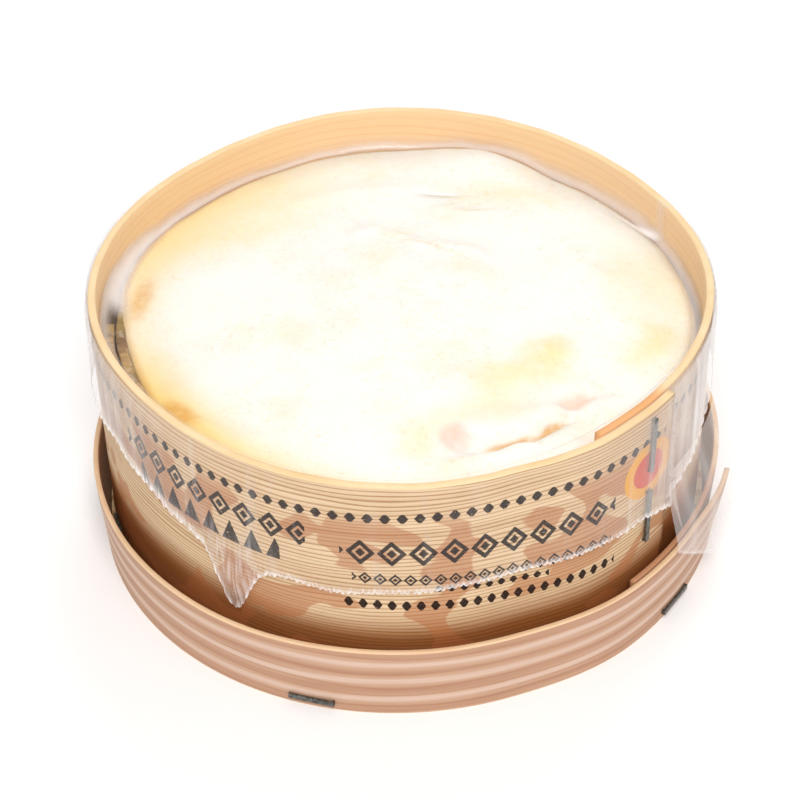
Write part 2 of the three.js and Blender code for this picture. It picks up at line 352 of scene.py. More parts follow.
# Rows of ornament on the wall. Each has its kind, the angles it runs between, the height of its middle
# above the table at both angles, how tall it is and the pitch of its marks.
ROWS = [
    ("dots", -172, -38, 53.4, 53.2, 2.4, 3.4),
    ("dots", -35, -6, 53.3, 53.2, 2.4, 3.4),
    ("lozenges", -101, -50.5, 44.2, 42.4, 6.6, 6.2),
    ("lozenges", -150, -107, 46.6, 46.6, 6.6, 6.2),
    ("peaks", -146, -112, 40.2, 40.4, 6.2, 5.4),
    ("lozenges", -99, -51, 37.2, 33.6, 3.1, 3.0),
    ("dots", -85, -64, 33.6, 31.2, 1.8, 2.6),
    ("dots", -101, -50, 30.0, 26.5, 2.6, 2.9),
]


def along_at(angle):
    """Millimetres along the box's band from its outer end."""
    return math.radians((BOX_END - angle) % 360) * BOX_RADIUS


def mark(n, kind, across, up):
    """A mark in its own square, across and up from -0.5 to 0.5. Positive inside."""
    side = n.math("ABSOLUTE", across)
    rise = n.math("ABSOLUTE", up)
    if kind == "dots":
        return n.math("SUBTRACT", 0.36, n.add(side, n.times(rise, 0.5)))
    if kind == "peaks":
        slope = n.math("SUBTRACT", 0.46, n.add(side, n.math("MULTIPLY_ADD", up, 0.46, 0.23)))
        return n.math("MINIMUM", slope, n.math("SUBTRACT", 0.47, rise))
    diamond = n.math("SUBTRACT", 0.49, n.add(side, n.times(rise, 0.9)))
    hollow = n.math("SUBTRACT", n.math("ABSOLUTE", n.math("SUBTRACT", diamond, 0.27)), 0.04)
    return n.math("MINIMUM", diamond, hollow)


def ornament(n, along, up):
    """Ink share of all the rows: plain repeated marks, no lettering."""
    ink = 0.0
    for kind, start, end, low, high, tall, pitch in ROWS:
        near, far = sorted((along_at(start), along_at(end)))
        slope = (low - high) / (along_at(start) - along_at(end))
        middle = n.add(n.times(n.math("SUBTRACT", along, along_at(end)), slope), high)
        rise = n.math("DIVIDE", n.math("SUBTRACT", up, middle), tall)
        across = n.math("SUBTRACT", n.math("FRACT", n.math("DIVIDE", along, pitch)), 0.5)
        shape = n.ramp(mark(n, kind, across, rise), 0.0, 0.03)
        inside = n.times(n.math("GREATER_THAN", along, near), n.math("LESS_THAN", along, far))
        inside = n.times(inside, n.math("LESS_THAN", n.math("ABSOLUTE", rise), 0.5))
        ink = n.math("MAXIMUM", ink, n.times(shape, inside))
    return ink


# Painted shade: the wall's foot is darkened to orange-brown, standing for the shadow down inside the lid,
# up to the first of these heights above the band's lower edge, and it fades out at the second. The patches
# fade out between the other two heights above the table.
FOOT_SHADE = (13, 23)
PATCH_TOP = (50.0, 55.0)

# The disc's place and the radii of its ring and its core.
SEAL_ANGLE = -42.2
SEAL_HEIGHT = 45.7
SEAL_RADIUS = 7.2
SEAL_CORE = 4.6


def printed_wall():
    """Pale grained spruce with soft-edged brown patches, dark ornament and a plain two-tone disc."""
    n = Nodes("printed_spruce")
    along, up = n.wrap()
    tint, height = wood_colour(n, along, up, colour(230, 202, 166), colour(172, 128, 84), 0.0, 1.05, 0.34)
    # Painted shade: the foot is darkened to orange-brown where the lid's shadow falls on it.
    low = n.ramp(up, BOX_FLOOR + FOOT_SHADE[1], BOX_FLOOR + FOOT_SHADE[0])
    tint = n.mix(n.times(low, 0.88), tint, colour(142, 76, 14))
    spread = n.noise(n.joined(n.times(along, 0.062), n.times(up, 0.085), 2.0), 1.0, 1.5, 0.4, 0.6)
    patch = n.times(n.ramp(spread, 0.518, 0.54), n.ramp(up, PATCH_TOP[1], PATCH_TOP[0]))
    tint = n.mix(n.times(patch, 0.6), tint, colour(176, 108, 64))
    seal_place = (along_at(SEAL_ANGLE), SEAL_HEIGHT, 0)
    ends = {0: n.joined(along, up), 1: seal_place}
    reach = n.node("ShaderNodeVectorMath", ends, operation="DISTANCE").outputs["Value"]
    disc = n.ramp(reach, SEAL_RADIUS + 0.1, SEAL_RADIUS - 0.1)
    core = n.ramp(reach, SEAL_CORE + 0.15, SEAL_CORE - 0.15)
    worn = n.noise(n.joined(n.times(along, 0.9), n.times(up, 2.4), 5.0), 1.0, 2.0)
    ink = n.times(ornament(n, along, up), n.ramp(worn, 0.2, 0.38))
    tint = n.mix(n.times(ink, 0.97), tint, colour(26, 8, 5))
    tint = n.mix(disc, tint, colour(234, 168, 52))
    tint = n.mix(core, tint, colour(212, 76, 50))
    return n.finish(
        Base_Color=tint, Roughness=0.62, Specular_IOR_Level=0.15, Normal=n.bump(height, 0.4, 0.00014)
    )


# ---- Hoops ----

EDGE_ROUNDING = 0.35
CORNER_STEPS = 3

# The places of a hoop's materials: its outer face, its cut edges and its inner face.
OUTER, EDGE, INNER = 0, 1, 2


def hoop_section(thickness, low, high, steps):
    """A band's cross-section as a closed loop: each point's offset outwards, height and face."""
    r = EDGE_ROUNDING
    corners = [
        (thickness - r, high - r, 0),
        (r, high - r, 90),
        (r, low + r, 180),
        (thickness - r, low + r, 270),
    ]
    loop = [(thickness, z, OUTER) for z in np.linspace(low + r, high - r, steps)]
    for index, (x, z, start) in enumerate(corners):
        for turn in np.linspace(start, start + 90, CORNER_STEPS + 1)[1:]:
            loop.append((x + r * cosd(turn), z + r * sind(turn), EDGE))
        if index == 1:
            loop += [(0, z, INNER) for z in np.linspace(high - r, low + r, steps)[1:]]
    return np.array(loop)[:-1]


def hoop(name, inner, thickness, low, high, end, lap, easing, turn, materials, reshape, steps):
    """A bent strip whose ends lap. reshape(along, angle, height) gives additions to radius and height."""
    section = hoop_section(thickness, low, high, steps)
    along = np.linspace(0, 360 + lap, int(360 + lap) + 1)
    angle = end + turn * along
    more_radius, more_height = reshape(along[:, None], angle[:, None], section[None, :, 1])
    layer = inner(angle) + lap_lift(along, thickness, lap, easing)
    radius = layer[:, None] + section[None, :, 0]
    points = polar(radius + more_radius, angle[:, None], section[None, :, 1] + more_height)
    rows, columns = points.shape[:2]
    faces = grid_faces(rows, columns, close_columns=True)
    kinds = section[:, 2].astype(int)
    next_kinds = np.roll(kinds, -1)
    slots = np.where(next_kinds == EDGE, EDGE, np.maximum(kinds, next_kinds))
    if turn < 0:
        faces = faces[:, ::-1]
    caps = [list(range(columns)), [(rows - 1) * columns + i for i in range(columns)]]
    caps[0 if turn > 0 else 1].reverse()
    run = np.radians(along) * BOX_RADIUS
    uvs = np.stack(np.broadcast_arrays(run[:, None], section[None, :, 1]), -1)
    slots = list(np.tile(slots, rows - 1)) + [EDGE, EDGE]
    return mesh_piece(name, points, list(faces) + caps, uvs, materials, slots)


def box_reshape(along, angle, height):
    """The rim is not quite level, and the wall swells a little between its grain lines."""
    top = ease(height, RIM - 3, RIM)
    level = 0.18 * cosd(3 * angle + 20) + 0.12 * cosd(7 * angle) + 0.05 * cosd(31 * angle)
    swell = 0.12 * cosd(5 * angle + 2.0 * height) + 0.015 * np.sin(2.6 * height + 0.05 * along)
    return swell * ease(height, BOX_FLOOR, BOX_FLOOR + 4) * (1 - top), level * top


def make_box_band():
    materials = [
        printed_wall(),
        rim_wood("spruce_edge", colour(240, 213, 166), colour(228, 182, 118), colour(226, 146, 58)),
        plain_wood("spruce_inside", colour(246, 209, 158), colour(240, 194, 138), 11.0),
    ]
    piece = hoop(
        "box_wall",
        inner=box_inner,
        thickness=BOX_VENEER,
        low=BOX_FLOOR,
        high=RIM,
        end=BOX_END,
        lap=BOX_LAP,
        easing=BOX_EASING,
        turn=-1,
        materials=materials,
        reshape=box_reshape,
        steps=44,
    )
    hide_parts("box_band")


def lid_reshape(along, angle, height):
    """The wall leans out, springs open at its outer end, and has a rim that is not quite level."""
    share = ease(height, 0, LID_TOP) * 0.3 + (height / LID_TOP) * 0.7
    spring = LID_SPRING * (1 - ease(along, 0, LID_SPRING_LENGTH))
    level = 0.15 * cosd(4 * angle) + 0.08 * cosd(11 * angle + 50)
    return (LID_FLARE + spring) * share, level * ease(height, LID_TOP - 3, LID_TOP)


def lid_wood():
    """Tan veneer with three or four broad darker stripes along it."""
    n = Nodes("lid_spruce")
    along, up = n.wrap()
    tint, height = wood_colour(n, along, up, colour(204, 163, 134), colour(178, 129, 98), 21.0)
    drift = n.noise(n.joined(n.times(along, 0.01), n.times(up, 0.05), 4.0), 1.0, 2.0)
    stripe = n.math("SINE", n.add(n.times(up, 1.15), n.times(drift, 5.0)))
    tint = n.mix(n.times(n.ramp(stripe, 0.2, 1.05), 0.55), tint, colour(234, 210, 193))
    tint = n.mix(n.times(n.ramp(stripe, -0.1, -0.95), 0.35), tint, colour(168, 114, 80))
    return n.finish(Base_Color=tint, Roughness=0.55, Normal=n.bump(height, 0.35, 0.00012))


def make_lid_band():
    materials = [
        lid_wood(),
        rim_wood("lid_edge", colour(236, 204, 166), colour(216, 170, 126), colour(176, 112, 72)),
        plain_wood("lid_inside", colour(248, 222, 188), colour(224, 182, 138), 31.0),
    ]

    def inner(angle):
        # The lid's own axis is the origin, so its outline is shifted to be about the box's axis.
        shift = BOX_CENTRE[0] * cosd(angle) + BOX_CENTRE[1] * sind(angle)
        return lid_inner(angle) - shift

    piece = hoop(
        "lid_wall",
        inner=inner,
        thickness=LID_VENEER,
        low=0.0,
        high=LID_TOP,
        end=LID_END,
        lap=LID_LAP,
        easing=LID_EASING,
        turn=-1,
        materials=materials,
        reshape=lid_reshape,
        steps=16,
    )
    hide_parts("lid_band")


def bark_reshape(along, angle, height):
    """Rough, fibrous faces and a torn top edge."""
    run, rise = np.broadcast_arrays(along * 1.1, height * 0.25)
    spots = np.stack([run, rise, np.zeros_like(run)], -1)
    ridges = rough(spots, 3.0, 3, 1.0)
    fibres = rough(spots * [1.6, 0.2, 1.0], 1.0, 2, 2.0)
    top = ease(height, BARK_TOP - 4, BARK_TOP)
    bare = 1.7 * about(angle, BARE_ANGLE, 15)
    return 0.22 * ridges + 0.1 * fibres, (0.45 * ridges + 0.4 * fibres + bare) * top


def bark_material():
    n = Nodes("bark")
    along, up = n.wrap()
    place = n.place()
    fibre = n.noise(n.joined(n.times(along, 0.25), n.times(up, 2.2), 1.0), 1.0, 5.0, 0.7)
    mould = n.ramp(n.noise(place, 0.35, 3.0), 0.55, 0.7)
    tint = n.mix(n.ramp(fibre, 0.3, 0.7), colour(104, 72, 44), colour(196, 158, 104))
    olive = n.ramp(n.noise(place, 0.12, 2.0), 0.4, 0.6)
    tint = n.mix(n.times(olive, 0.55), tint, colour(140, 122, 52))
    tint = n.mix(n.times(mould, 0.35), tint, colour(226, 210, 184))
    return n.finish(Base_Color=tint, Roughness=0.88, Normal=n.bump(fibre, 0.9, 0.0005))


def make_bark():
    material = bark_material()
    piece = hoop(
        "spruce_bark_strap",
        inner=bark_inner,
        thickness=BARK_THICKNESS,
        low=CHEESE_FLOOR,
        high=BARK_TOP,
        end=BARK_END,
        lap=BARK_LAP,
        easing=BARK_EASING,
        turn=1,
        materials=[material] * 3,
        reshape=bark_reshape,
        steps=14,
    )
    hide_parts("bark_strap")


# ---- The cheese ----

CHEESE_RINGS = 150
CHEESE_TURNS = 420
CHEESE_SIDE_STEPS = 14
FOOT_REACH = 3.0

# The share of the way out at which the innermost ring of the rind and of the film lies.
MIDDLE_RING = 0.002

# How far in from its edge the rind's shoulder is rounded.
SHOULDER = 2.6

# Folds in the rind: each runs through its points, this wide and this high. Negative ones are creases.
FOLDS = [
    ([(-9, 28.5), (1, 24), (8, 22.6), (17, 18.5)], 2.4, 0.75),
    ([(-7, 26.3), (2, 21.6), (9, 20.6), (16, 16.8)], 1.3, -0.55),
    ([(8, 37.4), (14, 37), (20, 35)], 1.7, 0.5),
    ([(-24, 41), (-10, 46), (4, 47)], 2.6, 0.45),
    ([(15.5, -46.2), (21, -43.4), (26, -42.3), (30, -39.6), (33, -37.5)], 1.5, -1.7),
    ([(13, -41), (22, -38), (29, -36.5)], 4.0, 1.1),
    ([(10, -52), (22, -49), (33, -44)], 3.6, 0.9),
    ([(33.5, -33), (37, -30), (42, -28)], 1.8, -0.8),
    ([(9.5, -42), (11.5, -46)], 2.4, -1.2),
    ([(-48, -27), (-42, -36), (-34, -43)], 3.0, 0.7),
    ([(36, 22), (44, 10), (49, -3)], 4.0, 0.35),
]

# Soft mounds: place, reach and height.
MOUNDS = [
    ((24, -21.5), 5.5, 0.7),
    ((31, -15), 5.0, 0.55),
    ((13, -28), 5.5, 0.6),
    ((18, 57), 8.0, 1.2),
    ((-38, 30), 13.0, 0.6),
    ((2, -10), 20.0, 0.5),
    ((52, -14), 7.0, 0.5),
    ((-14, -40), 11.0, 0.5),
]


def distance_to_path(x, y, path):
    """Distance from each place to a line of straight stretches, which fades out past its ends."""
    nearest = np.full(np.shape(x), 1e6)
    for (ax, ay), (bx, by) in zip(path[:-1], path[1:]):
        run = np.array([bx - ax, by - ay], float)
        share = np.clip(((x - ax) * run[0] + (y - ay) * run[1]) / (run @ run), 0, 1)
        nearest = np.minimum(nearest, np.hypot(x - ax - share * run[0], y - ay - share * run[1]))
    return nearest


def rind_radius(angle):
    """The cheese's edge from above: it rolls over the bark to the wall, and leaves it bare at the left."""
    room = 0.35 + 5.3 * about(angle, BARE_ANGLE, 25) + 0.9 * about(angle, -5, 24)
    ripple = 0.15 * cosd(9 * angle + 30) + 0.1 * cosd(17 * angle) + 0.1 * cosd(29 * angle + 80)
    return box_inner(angle) - room + np.minimum(ripple, 0.1)


def rind_edge_rise(angle):
    """The rind climbs the far wall in a few low folds, and sinks a little elsewhere."""
    climb = 1.5 * about(angle, 76, 8) + 1.5 * about(angle, 66, 7) + 0.5 * about(angle, 100, 14)
    return climb - 0.6


def cheese_relief(x, y, fine):
    """Height of the rind's folds, mounds and, if fine, its small roughness."""
    places = np.stack([x, y, np.zeros_like(x)], -1)
    bend = 1.6 * rough(places, 9.0, 2, 3.0)
    height = 0.5 * rough(places, 26.0, 3, 4.0)
    if fine:
        height += 0.13 * rough(places, 7.0, 3, 5.0) + 0.035 * rough(places, 1.6, 3, 6.0)
    for path, width, rise in FOLDS:
        height += rise * bell(distance_to_path(x + bend, y + bend, path), width)
    for (mx, my), reach, rise in MOUNDS:
        height += rise * bell(np.hypot(x + bend - mx, y - bend - my), reach)
    return height


def cheese_height(x, y, share, angle, fine=True):
    """Height of the rind at places that are a share of the way out to its edge at each angle."""
    inwards = np.clip(rind_radius(angle) * (1 - share), 0, SHOULDER)
    shoulder = SHOULDER - np.sqrt(np.maximum(SHOULDER**2 - (SHOULDER - inwards) ** 2, 0))
    height = CHEESE_EDGE + rind_edge_rise(angle) * ease(share, 0.78, 1) + CHEESE_CROWN * (1 - share**2)
    return height + cheese_relief(x, y, fine) * ease(inwards, 0, SHOULDER) - 0.55 * shoulder


def cheese_top(angle):
    """Rings of the rind from its edge to its middle, and each ring's share of the way out."""
    share = (np.linspace(1, MIDDLE_RING, CHEESE_RINGS) ** 0.8)[:, None]
    top = polar(rind_radius(angle)[None, :] * share, angle[None, :], 0.0)
    top[..., 2] = cheese_height(top[..., 0], top[..., 1], share, angle[None, :])
    return top, share[:, 0]


def cheese_side(angle, edge_height):
    """Rings from the cheese's floor up behind the bark, and a last one under the rind's lip."""
    edge = rind_radius(angle)
    radius = np.minimum(edge, bark_inner(angle) - GAP)
    levels = np.linspace(BARK_TOP + 0.35, CHEESE_FLOOR, CHEESE_SIDE_STEPS)
    foot = FOOT_REACH * (1 - ease(levels, CHEESE_FLOOR - 1, CHEESE_FLOOR + FOOT_REACH)) ** 2
    side = polar(radius[None, :] - foot[:, None], angle[None, :], levels[:, None])
    under_lip = polar(edge - 0.2, angle, np.minimum(edge_height - 0.5, BARK_TOP + 0.75))
    return np.concatenate([side[::-1], under_lip[None]])


def make_cheese():
    angle = np.linspace(0, 360, CHEESE_TURNS, endpoint=False)
    top, top_shares = cheese_top(angle)
    side = cheese_side(angle, top[0, :, 2])
    rings = np.concatenate([side, top])
    rows, columns = rings.shape[:2]
    floor_middle = polar(0.0, 0.0, CHEESE_FLOOR)
    top_middle = polar(0.0, 0.0, float(top[-1, :, 2].mean()))
    points = np.concatenate([rings.reshape(-1, 3), [floor_middle], [top_middle]])
    low, high, last = rows * columns, rows * columns + 1, (rows - 1) * columns
    faces = list(grid_faces(rows, columns, close_columns=True))
    for i in range(columns):
        after = (i + 1) % columns
        faces.append([low, after, i])
        faces.append([high, last + i, last + after])
    shares = np.repeat(np.concatenate([np.ones(len(side)), top_shares]), columns)
    uvs = np.stack([np.concatenate([shares, [1, 0]]), points[:, 2]], -1)
    piece = mesh_piece("cheese", points, faces, uvs, [rind_material()])
    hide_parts("cheese_wheel")


# Coloured areas of the rind: place, reach across, reach along, turn, and how strong.
YELLOW_AREAS = [
    ((-36, 34), 30, 13, 35, 0.55),
    ((22, 43), 20, 6, -12, 0.35),
    ((22, -24), 14, 7, 22, 0.7),
    ((31, -15), 6, 5, 0, 0.6),
    ((16, -36), 16, 5, 12, 0.5),
    ((1, -45), 6, 6, 0, 0.5),
    ((-8, -20), 6, 3, 20, 0.3),
    ((52, -14), 9, 6, 60, 0.6),
    ((50, 8), 8, 20, 10, 0.4),
    ((12, 34), 12, 4, -8, 0.3),
]
ORANGE_AREAS = [
    ((-58, 6), 3, 9, -8, 0.8),
    ((-47, -33), 6, 3, -44, 1.0),
    ((20.5, -43.9), 5.5, 1.0, 22, 1.2),
    ((29.5, -40), 5.5, 1.0, 34, 1.2),
    ((37, -31), 4, 1.6, 30, 0.4),
    ((15, 36), 5, 1, -10, 0.4),
    ((7, 21.6), 9, 0.8, -22, 0.45),
]
# Where the rind turns golden towards its edge.
EDGE_AREAS = [
    ((-44, 30), 42, 30, 40, 0.7),
    ((-42, -42), 44, 20, -44, 1.0),
    ((-2, -62), 26, 8, 0, 0.5),
    ((58, 4), 12, 34, 0, 0.35),
]


def area_share(n, place, areas):
    """How much a place lies in any of the soft-edged areas."""
    total = 0.0
    for (x, y), wide, tall, turn, strength in areas:
        inputs = {
            "Vector": place,
            "Location": (x, y, 0),
            "Rotation": (0, 0, math.radians(turn)),
            "Scale": (wide, tall, 1e6),
        }
        spot = n.node("ShaderNodeMapping", inputs, vector_type="TEXTURE").outputs[0]
        reach = n.node("ShaderNodeVectorMath", {0: spot}, operation="LENGTH").outputs["Value"]
        total = n.add(total, n.times(n.ramp(reach, 1.5, 0.2), strength))
    return total


def rind_material():
    """A pale bloomy rind: cream and white, golden at its edge, with yellow and orange areas and grain."""
    n = Nodes("washed_rind")
    place = n.place()
    warp = n.node("ShaderNodeTexNoise", {"Vector": place, "Scale": 0.09, "Detail": 2.0}).outputs["Color"]
    shift = n.node("ShaderNodeVectorMath", {0: warp, 1: (0.5, 0.5, 0.5)}, operation="SUBTRACT").outputs[0]
    shift = n.node("ShaderNodeVectorMath", {0: shift, "Scale": 9.0}, operation="SCALE").outputs[0]
    bent = n.node("ShaderNodeVectorMath", {0: place, 1: shift}, operation="ADD").outputs[0]
    inputs = {0: shift, 1: (0.3, 0.3, 0.3), 2: place}
    stirred = n.node("ShaderNodeVectorMath", inputs, operation="MULTIPLY_ADD").outputs[0]
    fleck = n.noise(place, 0.55, 4.0, 0.7)
    cloud = n.noise(place, 0.06, 4.0, 0.6)
    outwards, _ = n.wrap()
    edges = area_share(n, bent, EDGE_AREAS)
    golden = n.times(edges, n.ramp(outwards, 0.66, 1.02))
    border = n.times(edges, n.ramp(outwards, 0.955, 0.985))
    yellow = n.times(area_share(n, bent, YELLOW_AREAS), n.ramp(fleck, -0.6, 0.8))
    orange = n.times(area_share(n, stirred, ORANGE_AREAS), n.ramp(fleck, -0.2, 0.75))
    tint = n.mix(n.ramp(cloud, 0.45, 0.8), colour(239, 237, 230), colour(240, 230, 208))
    tint = n.mix(n.ramp(yellow, 0.0, 1.0), tint, colour(236, 220, 160))
    tint = n.mix(n.ramp(golden, 0.0, 1.0), tint, colour(238, 208, 122))
    tint = n.mix(n.times(n.ramp(border, 0.0, 1.0), 0.6), tint, colour(226, 172, 92))
    tint = n.mix(n.times(n.ramp(orange, 0.0, 1.1), 0.85), tint, colour(216, 156, 60))
    speck = n.ramp(n.noise(bent, 0.75, 5.0, 0.75), 0.52, 0.72)
    tint = n.mix(n.times(n.times(speck, n.ramp(cloud, 0.3, 0.55)), 0.5), tint, colour(226, 198, 158))
    pink = area_share(n, bent, [((36, -31), 4, 3, 25, 0.8), ((10, -43), 4, 3, -40, 0.9)])
    tint = n.mix(n.times(n.ramp(pink, 0.0, 1.0), 0.5), tint, colour(240, 176, 146))
    grain = n.noise(place, 1.8, 5.0, 0.65)
    creases = n.noise(n.joined(n.node("ShaderNodeSeparateXYZ", {0: bent}).outputs[0], 0.0, 0.0), 0.2, 2.0)
    height = n.add(n.times(grain, 0.7), n.times(creases, 0.3))
    return n.finish(
        Base_Color=tint,
        Roughness=n.math("MULTIPLY_ADD", fleck, 0.2, 0.4),
        Subsurface_Weight=0.35,
        Subsurface_Radius=(1.0, 0.75, 0.45),
        Subsurface_Scale=0.003,
        Normal=n.bump(height, 0.35, 0.0004),
    )


# ---- The film ----

# The flat sheet's side, and the mesh's steps round a turn, over the cheese and down the wall.
FILM_TURNS = 1080
FILM_CHEESE_STEPS = 30
FILM_DROP_STEPS = 34

# How far the film stands off the rind and off the wood, and the share of the way out that it lies on
# the rind.
FILM_STAND = 0.5
FILM_ROOM = 0.35
FILM_FLAT_SHARE = 0.955

# How far in from the rind's edge the film's fold starts, and how far it stands over the rim.
FOLD_START = 1.2
RIM_STAND = 0.3

# The hem's teeth: degrees apart and millimetres tall.
TOOTH = 1.0
TOOTH_HEIGHT = 0.75

# The gathered corners. The first is pulled into a tip a little beside its middle, the second has the
# flap, and the last two dip.
CORNER_ANGLES = [-122, -32, 58, 148]
TIP_ANGLE = -121.5
TIP_LENGTH = 15.0
CORNER_DROP = 11

# The haze of the film where nothing dulls it.
CLEAR = 0.02

# The hem's height above the table at each angle, going once round.
HEM = [
    (-180, 38.5),
    (-155, 40.5),
    (-142, 38.4),
    (-131, 34.5),
    (-110, 34.0),
    (-103, 32.4),
    (-91, 33.5),
    (-62, 34.6),
    (-43, 32.7),
    (-34, 30.0),
    (-20, 34.0),
    (-8, 41.0),
    (10, 37.0),
    (40, 35.0),
    (75, 35.0),
    (100, 33.0),
    (130, 35.5),
]


def teeth(angle):
    """The rise of the cut edge's teeth at an angle."""
    return np.abs((angle / TOOTH) % 1 - 0.5) * 2 * TOOTH_HEIGHT


def hem_height(angle):
    angles, heights = np.array(HEM, float).T
    level = np.interp(angle, angles, heights, period=360)
    tip = about(angle, TIP_ANGLE, 4.5)
    dips = sum(about(angle, corner, 9) for corner in CORNER_ANGLES[2:])
    return level - TIP_LENGTH * tip - CORNER_DROP * dips + teeth(angle)


def gathering(angle):
    """How much of the sheet is gathered at an angle: most at its corners."""
    return sum(about(angle, corner, 15) for corner in CORNER_ANGLES)


def wall_pleats(angle, depth, above_hem):
    """The film's stand-off from the wall: folds that grow from the rim down to a crumpled hem."""
    gather = gathering(angle)
    slow = 0.35 * cosd(13 * angle + 40) + 0.25 * cosd(29 * angle)
    quick = 0.8 * cosd(61 * angle + 25 * depth) + 0.5 * cosd(97 * angle - 30 * depth)
    pulled = 1.3 * about(angle, -118, 5) * bell(above_hem - 9, 5)
    shake = cosd(173 * angle + 70 * depth) * bell(above_hem, 1.6)
    stand = 0.5 + 0.3 * depth + slow * depth * 0.5 + gather * quick * depth * 0.15 + pulled
    return np.maximum(stand + 0.14 * shake, 0.3)


def film_haze(angle, depth, above_hem):
    """The veil over the wall: milky at both sides, clear in front, streaked where it is gathered."""
    sides = 0.5 * about(angle, -170, 26) + 0.8 * about(angle, -14, 24) + 0.25 * about(angle, 90, 60)
    turn, down = np.broadcast_arrays(np.radians(angle) * 25, depth * 0.8)
    places = np.stack([turn, down, np.zeros_like(turn)], -1)
    streak = rough(places, 1.0, 3, 8.0)
    lines = np.clip(streak * 1.6 - 0.35, 0, 1) * (0.2 + 0.3 * gathering(angle))
    veil = np.clip(0.03 + sides * (0.9 + 0.35 * streak), 0.02, 0.66)
    speckle = rough(places * [14, 9, 1], 1.0, 2, 9.0)
    hem = bell(above_hem, 0.9 + 1.4 * about(angle, -138, 12)) * np.clip(0.6 + 0.7 * speckle, 0.1, 0.95)
    tip = 0.3 * about(angle, TIP_ANGLE, 6) * ease(depth, 0.45, 0.7) * np.clip(0.6 + 1.4 * speckle, 0, 1.4)
    return np.clip(veil + 0.35 * lines + hem + tip, 0, 0.92)


def film_on_cheese(angle):
    """The sheet where it lies on the rind, from its middle outwards: radius, height and haze."""
    shares = np.linspace(MIDDLE_RING, FILM_FLAT_SHARE, FILM_CHEESE_STEPS)[:, None]
    radius = rind_radius(angle) * shares
    flat = polar(radius, angle, 0.0)
    height = cheese_height(flat[..., 0], flat[..., 1], shares, angle, fine=False)
    return [(radius, height + FILM_STAND, CLEAR)]


def film_over_rim(angle):
    """The sheet's fold from the rind to the wall, its climb up the wall and its turn over the rim."""
    edge = rind_radius(angle) - FOLD_START
    inner = box_inner(angle) - FILM_ROOM
    outer = box_outer(angle) + FILM_ROOM
    wobble = 0.5 * cosd(11 * angle + 10) + 0.35 * cosd(23 * angle) + 0.2 * cosd(47 * angle)
    toe = CHEESE_EDGE + rind_edge_rise(angle) + 0.3 + 0.2 * wobble
    reach = 1.3 + 0.4 * wobble + 2.0 * about(angle, 178, 26) + 1.4 * about(angle, 35, 28)
    bare = ease(turn_between(angle, -180), -6, 1) * ease(turn_between(angle, -142), 8, -4)
    parts = []
    for share in np.linspace(0, 1, 8):
        bulge = 0.2 * sind(180 * share)
        milky = 0.22 + 0.3 * sind(180 * share) + 0.25 * about(angle, 165, 22)
        milky = milky * (1 - 0.95 * bare * ease(share, 0.95, 0.6))
        parts.append((edge + (inner - edge) * share, toe + reach * share**1.6 - bulge, milky))
    for share in (0.25, 0.6, 1.0):
        parts.append((inner, toe + reach + (RIM - 0.6 - toe - reach) * share, 0.07))
    for share in np.linspace(0, 1, 5):
        over = 0.45 * sind(180 * share)
        parts.append((inner + (outer - inner) * share, RIM + RIM_STAND + over, 0.05))
    return parts


def film_down_wall(angle):
    """The sheet's drop outside the wall, from under the rim to the hem."""
    depth = np.linspace(0.04, 1, FILM_DROP_STEPS)[:, None]
    top = RIM - 0.5
    hem = hem_height(angle)
    height = top + (hem - top) * depth
    above_hem = height - hem
    # The film clears the wall here and a little further round.
    support = np.maximum(box_outer(angle), box_outer(angle + 1.5)) + FILM_ROOM
    pleats = wall_pleats(angle, depth, above_hem) * ease(depth, 0, 0.12)
    return [(support + pleats, height, film_haze(angle, depth, above_hem))]


def film_rings():
    """The sheet's rings from the middle of the cheese to the hem, with the haze at each point."""
    angle = np.linspace(0, 360, FILM_TURNS, endpoint=False)[None, :]
    parts = film_on_cheese(angle) + film_over_rim(angle) + film_down_wall(angle)
    rings = [polar(radius, angle, height) for radius, height, _ in parts]
    haze = [np.broadcast_to(share, ring.shape[:-1]) for ring, (_, _, share) in zip(rings, parts)]
    return np.concatenate(rings), np.concatenate(haze)


# The corner that hangs over the lid at the right.
FLAP_ANGLES = (-38, -11)
FLAP_TOP = 39
FLAP_COLUMNS = 140
FLAP_ROWS = 60

# The flap's lower edge: its height at both sides, how far the point hangs below that, and where
# the point lies as a share of the way across.
FLAP_SIDE = 21
FLAP_POINT_DROP = 16
FLAP_POINT = 0.55

# How far the flap stands off the wall and the lid.
FLAP_WALL_STAND = 1.6
FLAP_LID_STAND = 0.8


def flap_grid():
    """The corner's points, rows from the wall down to its toothed edge, with the haze at each point."""
    angle = np.linspace(*FLAP_ANGLES, FLAP_COLUMNS)[None, :]
    depth = np.linspace(0, 1, FLAP_ROWS)[:, None]
    across = (angle - FLAP_ANGLES[0]) / (FLAP_ANGLES[1] - FLAP_ANGLES[0])
    point = np.minimum(across / FLAP_POINT, (1 - across) / (1 - FLAP_POINT))
    hem = FLAP_SIDE - FLAP_POINT_DROP * point + teeth(angle)
    height = FLAP_TOP + (hem - FLAP_TOP) * depth
    lid = LID_RADIUS + LID_VENEER + LID_FLARE + LID_OVAL * cosd(2 * (angle - LID_OVAL_ANGLE))
    lid = lid + LID_VENEER + GAP + LID_SPRING * ease(angle, LID_END - LID_SPRING_LENGTH, LID_END)
    lid = lid - BOX_CENTRE[0] * cosd(angle) + FLAP_LID_STAND
    wall = box_outer(angle) + FLAP_WALL_STAND
    out = 1 - ease(height, LID_TOP + 0.5, FLAP_TOP)
    fold = 0.3 * cosd(23 * angle + 60 * depth) + 0.12 * cosd(53 * angle - 80 * depth)
    radius = wall + (lid - wall) * out + fold * depth * 0.8 + 0.4
    haze = 0.24 + 0.1 * np.abs(cosd(23 * angle + 40 * depth)) ** 6 + 0.3 * bell((1 - depth) * 30, 0.8)
    return polar(radius, angle, height), np.broadcast_to(haze, height.shape)
